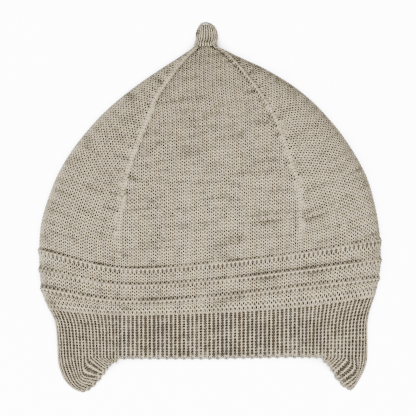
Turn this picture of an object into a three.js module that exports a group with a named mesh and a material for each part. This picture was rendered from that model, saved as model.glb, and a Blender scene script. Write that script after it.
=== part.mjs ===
// A fine-knit baby bonnet lying on its back: two layers of one knitted pouch, with the
// front layer up and the knitted stem pointing along +Y. Millimetres, +Z up, and the
// surface it lies on is z = 0. X is 0 in the middle of the flat width, and Y is 0 halfway
// between the tips of the ear flaps and the top of the stem.
import * as THREE from "three";

// Driving dimensions.
const FLAT_WIDTH = 170.5; // across the fold edges at the widest course
const FLAP_DROP = 17.25; // brow edge down to the left flap's tip
const RIB_DEPTH = 23; // brow edge up to the first plain course
const BAND_DEPTH = 24; // first plain course up to the top purl ridge
const CROWN_RISE = 108; // top purl ridge up to the neck of the stem
const STEM_LENGTH = 12.75;
const STEM_WIDTH = 12.2;
const STEM_THICKNESS = 8.4;
const LOFT = 30; // height of the front layer over the floor where it stands highest
const PLAIN_WALL = 1.4; // stocking-stitch cloth
const RIB_WALL = 1.8; // ribbed cloth
const RIDGE_RELIEF = 1.0; // a purl ridge stands this far out of the plain cloth
const RIB_RELIEF = 0.7; // depth of the valleys between ribs
const DECREASE_RELIEF = 0.5; // the narrowing lines stand this far out
const PIECE_GAP = 0.3; // between neighbouring knitted sections

// Columns of the mesh: between a fold edge and a narrowing line, and between the two lines.
const SIDE_COLUMNS = 11;
const FRONT_COLUMNS = 18;
const SIDE_WALES = 21;
const FRONT_WALES = 42;

const HALF_WIDTH = FLAT_WIDTH / 2;
const RIB_BASE = FLAP_DROP;
const BAND_BASE = RIB_BASE + RIB_DEPTH;
const CROWN_BASE = BAND_BASE + BAND_DEPTH;
const NECK = CROWN_BASE + CROWN_RISE;
const TOTAL_LENGTH = NECK + STEM_LENGTH;
const ZONES = {
  flap: { base: 0, size: FLAP_DROP },
  rib: { base: RIB_BASE, size: RIB_DEPTH },
  band: { base: BAND_BASE, size: BAND_DEPTH },
  crown: { base: CROWN_BASE, size: CROWN_RISE },
};

// The outline, as seen from the front. up: share of the zone. left, right: the fold edges,
// as shares of half the flat width. roof: the front layer's height along the middle.
// edge: the height of the fold edges. Both are shares of the loft.
const OUTLINE = [
  { zone: "flap", up: 0.0, left: -0.768, right: 0.828, roof: 0.18, edge: 0.09 },
  { zone: "flap", up: 0.1, left: -0.806, right: 0.844, roof: 0.19, edge: 0.091 },
  { zone: "flap", up: 0.33, left: -0.853, right: 0.874, roof: 0.22, edge: 0.093 },
  { zone: "flap", up: 0.57, left: -0.876, right: 0.9, roof: 0.26, edge: 0.097 },
  { zone: "flap", up: 0.8, left: -0.89, right: 0.917, roof: 0.31, edge: 0.102 },
  { zone: "rib", up: 0.0, left: -0.894, right: 0.924, roof: 0.36, edge: 0.107 },
  { zone: "rib", up: 0.38, left: -0.898, right: 0.924, roof: 0.43, edge: 0.12 },
  { zone: "rib", up: 0.73, left: -0.907, right: 0.924, roof: 0.49, edge: 0.135 },
  { zone: "rib", up: 0.91, left: -0.924, right: 0.93, roof: 0.53, edge: 0.145 },
  { zone: "band", up: 0.08, left: -0.95, right: 0.942, roof: 0.57, edge: 0.155 },
  { zone: "band", up: 0.25, left: -0.971, right: 0.959, roof: 0.62, edge: 0.165 },
  { zone: "band", up: 0.42, left: -0.986, right: 0.974, roof: 0.67, edge: 0.175 },
  { zone: "band", up: 0.75, left: -0.997, right: 0.993, roof: 0.75, edge: 0.19 },
  { zone: "crown", up: 0.0, left: -1.0, right: 1.0, roof: 0.82, edge: 0.205 },
  { zone: "crown", up: 0.09, left: -1.0, right: 0.999, roof: 0.89, edge: 0.22 },
  { zone: "crown", up: 0.17, left: -0.992, right: 0.989, roof: 0.94, edge: 0.235 },
  { zone: "crown", up: 0.24, left: -0.972, right: 0.974, roof: 0.97, edge: 0.245 },
  { zone: "crown", up: 0.315, left: -0.941, right: 0.952, roof: 0.99, edge: 0.25 },
  { zone: "crown", up: 0.39, left: -0.904, right: 0.923, roof: 1.0, edge: 0.25 },
  { zone: "crown", up: 0.46, left: -0.858, right: 0.881, roof: 0.99, edge: 0.25 },
  { zone: "crown", up: 0.535, left: -0.797, right: 0.825, roof: 0.97, edge: 0.245 },
  { zone: "crown", up: 0.61, left: -0.722, right: 0.759, roof: 0.92, edge: 0.235 },
  { zone: "crown", up: 0.684, left: -0.638, right: 0.68, roof: 0.86, edge: 0.22 },
  { zone: "crown", up: 0.758, left: -0.535, right: 0.588, roof: 0.78, edge: 0.205 },
  { zone: "crown", up: 0.83, left: -0.418, right: 0.472, roof: 0.68, edge: 0.185 },
  { zone: "crown", up: 0.905, left: -0.279, right: 0.312, roof: 0.55, edge: 0.165 },
  { zone: "crown", up: 0.942, left: -0.206, right: 0.209, roof: 0.47, edge: 0.155 },
  { zone: "crown", up: 0.97, left: -0.153, right: 0.134, roof: 0.39, edge: 0.145 },
  { zone: "crown", up: 0.988, left: -0.118, right: 0.088, roof: 0.33, edge: 0.138 },
  { zone: "crown", up: 1.0, left: -0.098, right: 0.047, roof: 0.29, edge: 0.135 },
].map((row) => ({ ...row, height: heightOf(row.zone, row.up) }));

// Courses, as knitted from the brow edge to the neck. leftUp, rightUp: where the course
// meets the fold edges. kneeLeft, kneeRight: where it crosses the two narrowing lines, as
// shares of half the flat width, with kneeLeftUp and kneeRightUp. midUp: on the middle.
const COURSES = [
  { zone: "rib", leftUp: 0, kneeLeft: -0.524, kneeLeftUp: 0, midUp: 0,
    kneeRight: 0.518, kneeRightUp: 0.035, rightUp: 0 },
  { zone: "band", leftUp: 0.073, kneeLeft: -0.524, kneeLeftUp: -0.035, midUp: 0.01,
    kneeRight: 0.518, kneeRightUp: 0.135, rightUp: 0.354 },
  { zone: "band", leftUp: 0.49, kneeLeft: -0.524, kneeLeftUp: 0.23, midUp: 0.302,
    kneeRight: 0.518, kneeRightUp: 0.51, rightUp: 0.688 },
  { zone: "band", leftUp: 0.885, kneeLeft: -0.524, kneeLeftUp: 0.565, midUp: 0.646,
    kneeRight: 0.518, kneeRightUp: 0.854, rightUp: 1.083 },
  { zone: "crown", leftUp: 0.065, kneeLeft: -0.524, kneeLeftUp: -0.02, midUp: 0,
    kneeRight: 0.518, kneeRightUp: 0.048, rightUp: 0.111 },
  { zone: "crown", leftUp: 0.263, kneeLeft: -0.528, kneeLeftUp: 0.157, midUp: 0.194,
    kneeRight: 0.52, kneeRightUp: 0.231, rightUp: 0.356 },
  { zone: "crown", leftUp: 0.42, kneeLeft: -0.509, kneeLeftUp: 0.305, midUp: 0.342,
    kneeRight: 0.506, kneeRightUp: 0.374, rightUp: 0.51 },
  { zone: "crown", leftUp: 0.564, kneeLeft: -0.479, kneeLeftUp: 0.425, midUp: 0.457,
    kneeRight: 0.459, kneeRightUp: 0.49, rightUp: 0.63 },
  { zone: "crown", leftUp: 0.681, kneeLeft: -0.426, kneeLeftUp: 0.545, midUp: 0.573,
    kneeRight: 0.412, kneeRightUp: 0.605, rightUp: 0.734 },
  { zone: "crown", leftUp: 0.774, kneeLeft: -0.365, kneeLeftUp: 0.663, midUp: 0.688,
    kneeRight: 0.347, kneeRightUp: 0.716, rightUp: 0.827 },
  { zone: "crown", leftUp: 0.843, kneeLeft: -0.315, kneeLeftUp: 0.767, midUp: 0.79,
    kneeRight: 0.271, kneeRightUp: 0.808, rightUp: 0.885 },
  { zone: "crown", leftUp: 0.896, kneeLeft: -0.244, kneeLeftUp: 0.85, midUp: 0.873,
    kneeRight: 0.194, kneeRightUp: 0.887, rightUp: 0.931 },
  { zone: "crown", leftUp: 0.942, kneeLeft: -0.182, kneeLeftUp: 0.921, midUp: 0.933,
    kneeRight: 0.132, kneeRightUp: 0.945, rightUp: 0.961 },
  { zone: "crown", leftUp: 0.979, kneeLeft: -0.121, kneeLeftUp: 0.97, midUp: 0.979,
    kneeRight: 0.079, kneeRightUp: 0.982, rightUp: 0.988 },
  { zone: "crown", leftUp: 1, kneeLeft: -0.08, kneeLeftUp: 1, midUp: 1,
    kneeRight: 0.03, kneeRightUp: 1, rightUp: 1 },
].map((row, course) => ({
  course,
  kneeLeft: row.kneeLeft,
  kneeRight: row.kneeRight,
  leftHeight: heightOf(row.zone, row.leftUp),
  kneeLeftHeight: heightOf(row.zone, row.kneeLeftUp),
  midHeight: heightOf(row.zone, row.midUp),
  kneeRightHeight: heightOf(row.zone, row.kneeRightUp),
  rightHeight: heightOf(row.zone, row.rightUp),
}));
const RIB_TOP_COURSE = 1;
const RIDGE_COURSES = [2, 3, 4];
const CROWN_COURSE = 4.3;
const NECK_COURSE = COURSES.length - 1;
const RIDGE_STEP = 0.2; // from the middle of a purl ridge to its foot, in course steps
const GAP_STEP = PIECE_GAP / (COURSES[5].midHeight - COURSES[4].midHeight);

// Soft creases of the front layer. across: share of half the flat width. lift and breadth:
// shares of the loft. from, to: shares of the height of the whole bonnet.
const CREASES = [
  { across: 0.69, lift: -0.05, breadth: 0.19, from: 0.2, to: 0.44 },
  { across: 0.785, lift: 0.032, breadth: 0.07, from: 0.19, to: 0.42 },
  { across: -0.6, lift: -0.03, breadth: 0.2, from: 0.24, to: 0.38 },
];

// The free edge of an ear flap, from its tip to the corner at the brow. across: share of
// the flap's root from the fold edge. up: share of the flap's drop.
const FLAP_EDGE = [
  { step: 0.0, across: 0.36, up: 0.0 },
  { step: 0.2, across: 0.505, up: 0.1 },
  { step: 0.42, across: 0.66, up: 0.333 },
  { step: 0.6, across: 0.76, up: 0.565 },
  { step: 0.8, across: 0.86, up: 0.797 },
  { step: 1.0, across: 1.0, up: 0.945 },
];
const FLAP_BEND_UP = 0.246; // where the outermost rib of a flap turns, as a share of its drop
const FLAPS = [
  { name: "ear_flap_left", side: "left", wales: 20, tipUp: 0 },
  { name: "ear_flap_right", side: "right", wales: 14, tipUp: 0.06 },
];

// The stem. up: share of its length. middle: how far its middle lies off the neck's
// middle. half: half its breadth. Both are shares of the stem's width.
const STEM = [
  { up: 0.0, middle: 0.0, half: 0.5 },
  { up: 0.14, middle: 0.0, half: 0.475 },
  { up: 0.27, middle: 0.045, half: 0.478 },
  { up: 0.5, middle: 0.06, half: 0.46 },
  { up: 0.73, middle: 0.045, half: 0.4 },
  { up: 0.87, middle: 0.03, half: 0.3 },
  { up: 0.96, middle: 0.0, half: 0.17 },
];
const STEM_COLUMNS = 16;

// Form of the pouch in cross-section.
const FOLD_RADIUS = 2.7; // the least, of the outer face where the cloth folds
const ROOF_POWER = 2.4; // a larger power holds the front layer flatter
const FLOOR_SHARE = 0.66; // of the half width, what lies flat on the floor
const FOLD_POWER = 2.2;
const LOOP_SAMPLES = 48; // for each half of a course, when it is measured

const CLOTH = { color: 0xb3aa9b, roughness: 0.95, metalness: 0 };

function heightOf(zone, up) {
  return ZONES[zone].base + ZONES[zone].size * up;
}

// One column of a table at a place between its rows, on a smooth curve through them.
function between(rows, along, column, at) {
  const last = rows.length - 1;
  const above = rows.findIndex((row) => row[along] > at);
  const i = above < 0 ? last - 1 : Math.max(above - 1, 0);
  const slope = (k) => {
    const before = rows[Math.max(k - 1, 0)];
    const after = rows[Math.min(k + 1, last)];
    return (after[column] - before[column]) / (after[along] - before[along]);
  };
  const span = rows[i + 1][along] - rows[i][along];
  const t = THREE.MathUtils.clamp((at - rows[i][along]) / span, 0, 1);
  const t2 = t * t;
  const t3 = t2 * t;
  return (
    (2 * t3 - 3 * t2 + 1) * rows[i][column] +
    (t3 - 2 * t2 + t) * span * slope(i) +
    (3 * t2 - 2 * t3) * rows[i + 1][column] +
    (t3 - t2) * span * slope(i + 1)
  );
}

// Where a place lies across the pouch. out: 0 on the middle, 1 on a fold edge. bead: how
// far a round fold edge stands off the middle of its own thickness there.
function placeAcross(x, height) {
  const left = HALF_WIDTH * between(OUTLINE, "height", "left", height);
  const right = HALF_WIDTH * between(OUTLINE, "height", "right", height);
  const half = (right - left) / 2;
  const out = Math.min(Math.abs(x - (left + right) / 2) / half, 1);
  const fromRim = Math.min(((1 - out) * half) / FOLD_RADIUS, 1);
  return { out, bead: FOLD_RADIUS * Math.sqrt(1 - (1 - fromRim) ** 2) };
}

function creaseLift(x, height) {
  let lift = 0;
  for (const { across, lift: most, breadth, from, to } of CREASES) {
    const share = (height / TOTAL_LENGTH - from) / (to - from);
    if (share <= 0 || share >= 1) continue;
    const away = (x - across * HALF_WIDTH) / (breadth * LOFT);
    lift += most * LOFT * Math.exp(-away * away) * Math.sin(Math.PI * share) ** 0.7;
  }
  return lift;
}

// Height over the floor of the front or back layer's outer face.
function layerHeight(x, height, isFront) {
  const { out, bead } = placeAcross(x, height);
  const edge = LOFT * between(OUTLINE, "height", "edge", height);
  if (isFront) {
    const roof = LOFT * between(OUTLINE, "height", "roof", height);
    const dome = Math.sqrt(1 - out ** ROOF_POWER);
    return edge + bead + (roof - edge - FOLD_RADIUS + creaseLift(x, height)) * dome;
  }
  const turn = Math.max((out - FLOOR_SHARE) / (1 - FLOOR_SHARE), 0);
  return edge - bead - (edge - FOLD_RADIUS) * Math.sqrt(1 - turn ** FOLD_POWER);
}

// A course's run from fold edge to fold edge, as seen from the front. across: -1 on the
// left fold edge, -0.5 and 0.5 on the narrowing lines, and 1 on the right fold edge.
function courseRun(course) {
  const at = (column) => between(COURSES, "course", column, course);
  const foldX = (side) => HALF_WIDTH * between(OUTLINE, "height", side, at(side + "Height"));
  const [kneeLeft, kneeRight] = [HALF_WIDTH * at("kneeLeft"), HALF_WIDTH * at("kneeRight")];
  return [
    { across: -1, x: foldX("left"), y: at("leftHeight") },
    { across: -0.5, x: kneeLeft, y: at("kneeLeftHeight") },
    { across: 0, x: (kneeLeft + kneeRight) / 2, y: at("midHeight") },
    { across: 0.5, x: kneeRight, y: at("kneeRightHeight") },
    { across: 1, x: foldX("right"), y: at("rightHeight") },
  ];
}

// Points at even steps along a stretch of one layer of a course, its last point left out.
function evenStretch(course, from, to, isFront, count) {
  const courseLine = courseRun(course);
  const fine = [];
  for (let i = 0; i <= LOOP_SAMPLES; i++) {
    const turn = (1 - Math.cos((Math.PI * i) / LOOP_SAMPLES)) / 2;
    const across = from + (to - from) * turn;
    const x = between(courseLine, "across", "x", across);
    const y = between(courseLine, "across", "y", across);
    fine.push(new THREE.Vector3(x, y, layerHeight(x, y, isFront)));
  }
  const run = [0];
  for (let i = 1; i < fine.length; i++) run.push(run[i - 1] + fine[i].distanceTo(fine[i - 1]));
  const points = [];
  for (let k = 0, i = 1; k < count; k++) {
    const along = (run[LOOP_SAMPLES] * k) / count;
    while (run[i] < along) i++;
    points.push(fine[i - 1].clone().lerp(fine[i], (along - run[i - 1]) / (run[i] - run[i - 1])));
  }
  return points;
}

// A whole course as a closed loop of points on the cloth's outer face: the front layer
// from the left fold edge to the right one, and back along the back layer.
function courseLoop(course, sideColumns, frontColumns) {
  return [
    ...evenStretch(course, -1, -0.5, true, sideColumns),
    ...evenStretch(course, -0.5, 0.5, true, frontColumns),
    ...evenStretch(course, 0.5, 1, true, sideColumns),
    ...evenStretch(course, 1, 0.5, false, sideColumns),
    ...evenStretch(course, 0.5, -0.5, false, frontColumns),
    ...evenStretch(course, -0.5, -1, false, sideColumns),
  ];
}

// Outward directions of a grid of points whose rows run upwards.
function outwardOf(rows, isLoop) {
  return rows.map((row, r) => {
    const below = rows[Math.max(r - 1, 0)];
    const above = rows[Math.min(r + 1, rows.length - 1)];
    return row.map((_, c) => {
      const count = row.length;
      const next = isLoop ? (c + 1) % count : Math.min(c + 1, count - 1);
      const before = isLoop ? (c + count - 1) % count : Math.max(c - 1, 0);
      const along = row[next].clone().sub(row[before]);
      return along.cross(above[c].clone().sub(below[c])).normalize();
    });
  });
}

// Whole courses as a grid of points on the cloth's outer face, with outward directions
// that two sections share where they meet.
function courseGrid(courses, sideColumns, frontColumns) {
  const loopAt = (course) => {
    const within = THREE.MathUtils.clamp(course, 0, NECK_COURSE);
    return courseLoop(within, sideColumns, frontColumns);
  };
  const near = courses.map((course) => [-0.1, 0, 0.1].map((step) => loopAt(course + step)));
  return {
    rows: near.map((loops) => loops[1]),
    outward: near.map((loops) => outwardOf(loops, true)[1]),
  };
}

// A grid's points moved outwards by a relief, and never below the floor.
function moved({ rows, outward }, relief) {
  return rows.map((row, r) =>
    row.map((point, c) => {
      const to = point.clone().addScaledVector(outward[r][c], relief(r, c));
      to.z = Math.max(to.z, 0);
      return to;
    }),
  );
}

// A closed body from an outer and an inner grid with equal columns. Rows run upwards.
// A closed top gets a cap over each grid, and an open one a strip between the two.
function bodyOf(outer, inner, { isLoop, hasCap = false }) {
  const positions = [];
  const triangles = [];
  const add = (point) => positions.push(point.x, point.y, point.z) / 3 - 1;
  const outerIndex = outer.map((row) => row.map(add));
  const innerIndex = inner.map((row) => row.map(add));
  const columns = outer[0].length;
  const quad = (a, b, c, d) => triangles.push(a, b, c, a, c, d);
  const strip = (lower, upper) => {
    for (let c = 0; c < (isLoop ? columns : columns - 1); c++) {
      const next = (c + 1) % columns;
      quad(lower[c], lower[next], upper[next], upper[c]);
    }
  };
  for (let r = 1; r < outer.length; r++) strip(outerIndex[r - 1], outerIndex[r]);
  for (let r = 1; r < inner.length; r++) strip(innerIndex[r], innerIndex[r - 1]);
  strip(innerIndex[0], outerIndex[0]);
  const outerTop = outerIndex.at(-1);
  const innerTop = innerIndex.at(-1);
  if (hasCap) {
    const middle = (row) => row.reduce((sum, p) => sum.add(p), new THREE.Vector3());
    const outerPole = add(middle(outer.at(-1)).divideScalar(columns));
    const innerPole = add(middle(inner.at(-1)).divideScalar(columns));
    for (let c = 0; c < columns; c++) {
      const next = (c + 1) % columns;
      triangles.push(outerTop[c], outerTop[next], outerPole);
      triangles.push(innerTop[next], innerTop[c], innerPole);
    }
  } else strip(outerTop, innerTop);
  if (!isLoop) {
    const ends = (index, c) => index.map((row) => row[c]);
    for (const [c, isFirst] of [[0, true], [columns - 1, false]]) {
      const rim = [...ends(outerIndex, c), ...ends(innerIndex, c).reverse()];
      const half = rim.length / 2;
      for (let k = 0; k < half - 1; k++) {
        const corner = [rim[k], rim[k + 1], rim[rim.length - 2 - k], rim[rim.length - 1 - k]];
        quad(...(isFirst ? corner : corner.reverse()));
      }
    }
  }
  const geometry = new THREE.BufferGeometry();
  geometry.setAttribute("position", new THREE.Float32BufferAttribute(positions, 3));
  geometry.setIndex(triangles);
  geometry.computeVertexNormals();
  return geometry;
}

function knitted(name, geometry) {
  const piece = new THREE.Mesh(geometry, new THREE.MeshStandardMaterial(CLOTH));
  piece.name = name;
  return piece;
}

// Even steps from one value to another, both ends included.
function steps(from, to, count) {
  return Array.from({ length: count + 1 }, (_, i) => from + ((to - from) * i) / count);
}

// The columns that lie on the four narrowing lines of a course loop.
function narrowingColumns() {
  const half = 2 * SIDE_COLUMNS + FRONT_COLUMNS;
  return [0, half].flatMap((start) => [start + SIDE_COLUMNS, start + half - SIDE_COLUMNS]);
}

// Crown: four knitted gores that narrow to the neck, closed at its top.
function makeCrown() {
  const courses = [...steps(CROWN_COURSE + GAP_STEP, 9, 8), ...steps(9.6, NECK_COURSE, 7)];
  const grid = courseGrid(courses, SIDE_COLUMNS, FRONT_COLUMNS);
  const lines = narrowingColumns();
  const relief = courses.map((course) => DECREASE_RELIEF * THREE.MathUtils.smoothstep(course, 5, 7));
  const outer = moved(grid, (r, c) => (lines.includes(c) ? relief[r] : 0));
  const inner = moved(grid, () => -PLAIN_WALL).filter((_, r) => r % 2 === 0);
  return knitted("crown", bodyOf(outer, inner, { isLoop: true, hasCap: true }));
}

// Band: plain cloth with three purl ridges, between the ribbing and the crown.
function makeBand() {
  const flanks = RIDGE_COURSES.flatMap((ridge) => [ridge - RIDGE_STEP, ridge, ridge + RIDGE_STEP]);
  const courses = [RIB_TOP_COURSE, ...flanks, CROWN_COURSE];
  const last = courses.length - 1;
  const grid = courseGrid(courses, SIDE_COLUMNS, FRONT_COLUMNS);
  for (const row of grid.rows.slice(1, last)) {
    for (const point of row) point.z = Math.max(point.z, RIDGE_RELIEF);
  }
  const outer = moved(grid, (r) => (RIDGE_COURSES.includes(courses[r]) ? RIDGE_RELIEF : 0));
  const inner = moved(grid, () => -PLAIN_WALL).filter((_, r) => r % 3 === 0 || r === last);
  return knitted("ridge_band", bodyOf(outer, inner, { isLoop: true }));
}

// Ribbing round the face and neck. Each rib is one knit wale and one purl wale.
function makeBrim() {
  const grid = courseGrid(steps(0, RIB_TOP_COURSE - PIECE_GAP / RIB_DEPTH, 4), SIDE_WALES, FRONT_WALES);
  const outer = moved(grid, (r, c) => (c % 2 ? -RIB_RELIEF : 0));
  const inner = moved(grid, () => -RIB_WALL).filter((_, r) => r % 2 === 0);
  return knitted("rib_brim", bodyOf(outer, inner, { isLoop: true }));
}

// Ear flap: the ribbing carried on below the brow, folded along the pouch's edge, with
// ribs that turn to meet its free edge.
function makeFlap({ name, side, wales, tipUp }) {
  const { rows: [loop], outward: [loopOutward] } = courseGrid([0], SIDE_WALES, FRONT_WALES);
  const isLeft = side === "left";
  const inwards = isLeft ? 1 : -1;
  const foldColumn = isLeft ? 0 : loop.length / 2;
  const columns = steps(-wales, wales, 2 * wales);
  const ofLoop = (row, k) => row[(foldColumn + k + row.length) % row.length];
  const foldX = loop[foldColumn].x;
  const root = Math.abs(ofLoop(loop, wales).x - foldX);
  const foldAt = (height) => HALF_WIDTH * between(OUTLINE, "height", side, height);
  const at = (x, height) => new THREE.Vector2(x, height);
  const ribPath = (rootPoint) => {
    const share = Math.min(Math.abs(rootPoint.x - foldX) / root, 1);
    const endUp = tipUp + (1 - tipUp) * between(FLAP_EDGE, "step", "up", share);
    const endX = foldX + inwards * root * between(FLAP_EDGE, "step", "across", share);
    const bendUp = Math.max(THREE.MathUtils.lerp(FLAP_BEND_UP, 1, share), endUp);
    return new THREE.QuadraticBezierCurve(
      at(rootPoint.x, rootPoint.y - PIECE_GAP),
      at(rootPoint.x, FLAP_DROP * bendUp - PIECE_GAP),
      at(endX, FLAP_DROP * endUp),
    );
  };
  const rim = ribPath(loop[foldColumn]);
  const rows = steps(1, 0, 6).map((down) => {
    const slack = foldAt(rim.getPoint(down).y) - rim.getPoint(down).x;
    return columns.map((k) => {
      const rootPoint = ofLoop(loop, k);
      const share = Math.min(Math.abs(rootPoint.x - foldX) / root, 1);
      const { x, y } = ribPath(rootPoint).getPoint(down);
      const movedX = x + slack * (1 - share) ** 3;
      const isFront = isLeft ? k >= 0 : k <= 0;
      return new THREE.Vector3(movedX, y, layerHeight(movedX, y, isFront));
    });
  });
  const outward = outwardOf(rows, false);
  outward[rows.length - 1] = columns.map((k) => ofLoop(loopOutward, k));
  const outer = moved({ rows, outward }, (r, c) => ((c - wales) % 2 ? -RIB_RELIEF : 0));
  const inner = moved({ rows, outward }, () => -RIB_WALL);
  return knitted(name, bodyOf(outer, inner, { isLoop: false }));
}

// Stem: a short knitted cord on the neck, drawn shut at its end.
function makeStem() {
  const neckMiddle = (HALF_WIDTH * (OUTLINE.at(-1).left + OUTLINE.at(-1).right)) / 2;
  const rows = STEM.map(({ up, middle, half }) => {
    const y = NECK + PIECE_GAP + (STEM_LENGTH - PIECE_GAP) * up;
    const halfThickness = STEM_THICKNESS * Math.min(half, STEM[3].half);
    return Array.from({ length: STEM_COLUMNS }, (_, c) => {
      const turn = (2 * Math.PI * c) / STEM_COLUMNS;
      return new THREE.Vector3(
        neckMiddle + STEM_WIDTH * (middle - half * Math.cos(turn)),
        y,
        STEM_THICKNESS / 2 + halfThickness * Math.sin(turn),
      );
    });
  });
  const positions = [];
  const triangles = [];
  const add = (point) => positions.push(point.x, point.y, point.z) / 3 - 1;
  const index = rows.map((row) => row.map(add));
  const foot = add(new THREE.Vector3(neckMiddle, rows[0][0].y, STEM_THICKNESS / 2));
  const tip = add(new THREE.Vector3(neckMiddle, TOTAL_LENGTH, STEM_THICKNESS / 2));
  for (let c = 0; c < STEM_COLUMNS; c++) {
    const next = (c + 1) % STEM_COLUMNS;
    triangles.push(foot, index[0][next], index[0][c]);
    triangles.push(tip, index.at(-1)[c], index.at(-1)[next]);
    for (let r = 1; r < rows.length; r++) {
      const [a, b, c2, d] = [index[r - 1][c], index[r - 1][next], index[r][next], index[r][c]];
      triangles.push(a, b, c2, a, c2, d);
    }
  }
  const geometry = new THREE.BufferGeometry();
  geometry.setAttribute("position", new THREE.Float32BufferAttribute(positions, 3));
  geometry.setIndex(triangles);
  geometry.computeVertexNormals();
  return knitted("top_stem", geometry);
}

const bonnet = new THREE.Group();
bonnet.add(makeCrown(), makeBand(), makeBrim(), ...FLAPS.map(makeFlap), makeStem());
bonnet.position.y = -TOTAL_LENGTH / 2;

export default bonnet;
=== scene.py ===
"""A fine-knit baby bonnet lying on its back, knitted stitch by stitch round its frame.

The cloth is built as a knitter would build it: one loop of yarn is modelled once, and
copied along every wale and every course of the crown, band, brim, ear flaps and stem.
Lengths are in metres.
"""

import logging
import math
from collections.abc import Callable
from dataclasses import dataclass, field
from enum import Enum

import bpy
import numpy as np
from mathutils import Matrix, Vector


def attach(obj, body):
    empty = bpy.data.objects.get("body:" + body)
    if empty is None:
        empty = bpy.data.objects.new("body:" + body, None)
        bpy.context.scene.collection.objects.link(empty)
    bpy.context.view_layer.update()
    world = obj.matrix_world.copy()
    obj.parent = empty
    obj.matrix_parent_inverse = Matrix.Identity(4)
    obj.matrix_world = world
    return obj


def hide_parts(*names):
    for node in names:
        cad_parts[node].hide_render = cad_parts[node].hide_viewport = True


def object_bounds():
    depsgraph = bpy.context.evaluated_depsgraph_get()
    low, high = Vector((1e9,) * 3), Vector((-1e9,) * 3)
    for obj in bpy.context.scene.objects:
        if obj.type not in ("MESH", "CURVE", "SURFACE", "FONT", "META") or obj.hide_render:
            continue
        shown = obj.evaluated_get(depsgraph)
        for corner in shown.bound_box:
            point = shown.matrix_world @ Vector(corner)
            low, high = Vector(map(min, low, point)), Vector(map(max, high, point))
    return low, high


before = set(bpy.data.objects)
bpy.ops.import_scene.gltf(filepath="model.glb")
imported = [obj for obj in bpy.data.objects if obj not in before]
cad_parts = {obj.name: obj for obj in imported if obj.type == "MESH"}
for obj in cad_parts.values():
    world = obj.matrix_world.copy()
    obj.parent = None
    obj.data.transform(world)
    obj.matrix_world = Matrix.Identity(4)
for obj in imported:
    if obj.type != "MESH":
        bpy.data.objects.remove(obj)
CAD_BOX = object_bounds()

log = logging.getLogger("bonnet")

MM = 0.001
LOWEST, HIGHEST = CAD_BOX
TOTAL_LENGTH = HIGHEST[1] - LOWEST[1]
FLAT_WIDTH = 170.5 * MM
HALF_WIDTH = FLAT_WIDTH / 2
LOFT = 30 * MM  # greatest height of the pouch over the floor
STEM_LENGTH = 12.75 * MM
CROWN_RISE = 108 * MM
BAND_DEPTH = 24 * MM
RIB_DEPTH = 23 * MM
FLAP_DROP = 17.25 * MM
FOLD_RADIUS = 2.7 * MM  # of the rounded fold edges
ROOF_POWER = 2.4  # the higher, the flatter the front layer's dome
FLOOR_SHARE = 0.66  # of half the breadth, how far the back layer lies on the floor
FOLD_POWER = 2.2  # the higher, the later the back layer turns up to the fold edge
WALES = 42  # in each quarter of a full course
# By course, the band's row there.
BAND_ROWS = {0.93: -1, 1.0: 0, 2.0: 4, 3.0: 9, 4.0: 14, 4.3: 18, 4.375: 19}
PURL_ROWS = (4, 9, 14)
QUARTER_WALES = range(-WALES // 2 + 1, WALES // 2 + 1)
FLOOR_SQUASH = 0.15  # share of its depth that a stitch keeps where it presses on the floor

# Turns groups, wales, rows and distances out into points and depths for the painted shade.
Lay = Callable[
    [np.ndarray, np.ndarray, np.ndarray, np.ndarray], tuple[np.ndarray, np.ndarray]
]


class Quarter(Enum):
    """The four quarters of the pouch, in their order round it."""

    FRONT = 0
    RIGHT = 1
    BACK = 2
    LEFT = 3


# The two pieces that the band and the brim are knitted in, two quarters to each.
HALVES = {
    "front": (Quarter.FRONT, Quarter.LEFT),
    "back": (Quarter.RIGHT, Quarter.BACK),
}


class Stitch(Enum):
    """Which face of the loop looks outwards."""

    KNIT = 1.0
    PURL = -1.0


class Section(Enum):
    """A stretch of the bonnet's length: where it starts, and how long it is."""

    FLAP = (0.0, FLAP_DROP)
    RIB = (FLAP_DROP, RIB_DEPTH)
    BAND = (FLAP_DROP + RIB_DEPTH, BAND_DEPTH)
    CROWN = (FLAP_DROP + RIB_DEPTH + BAND_DEPTH, CROWN_RISE)

    def height(self, share: float) -> float:
        """Height over the flap tips at a share of this stretch."""
        start, size = self.value
        return start + size * share


NECK = Section.CROWN.height(1.0)

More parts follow.
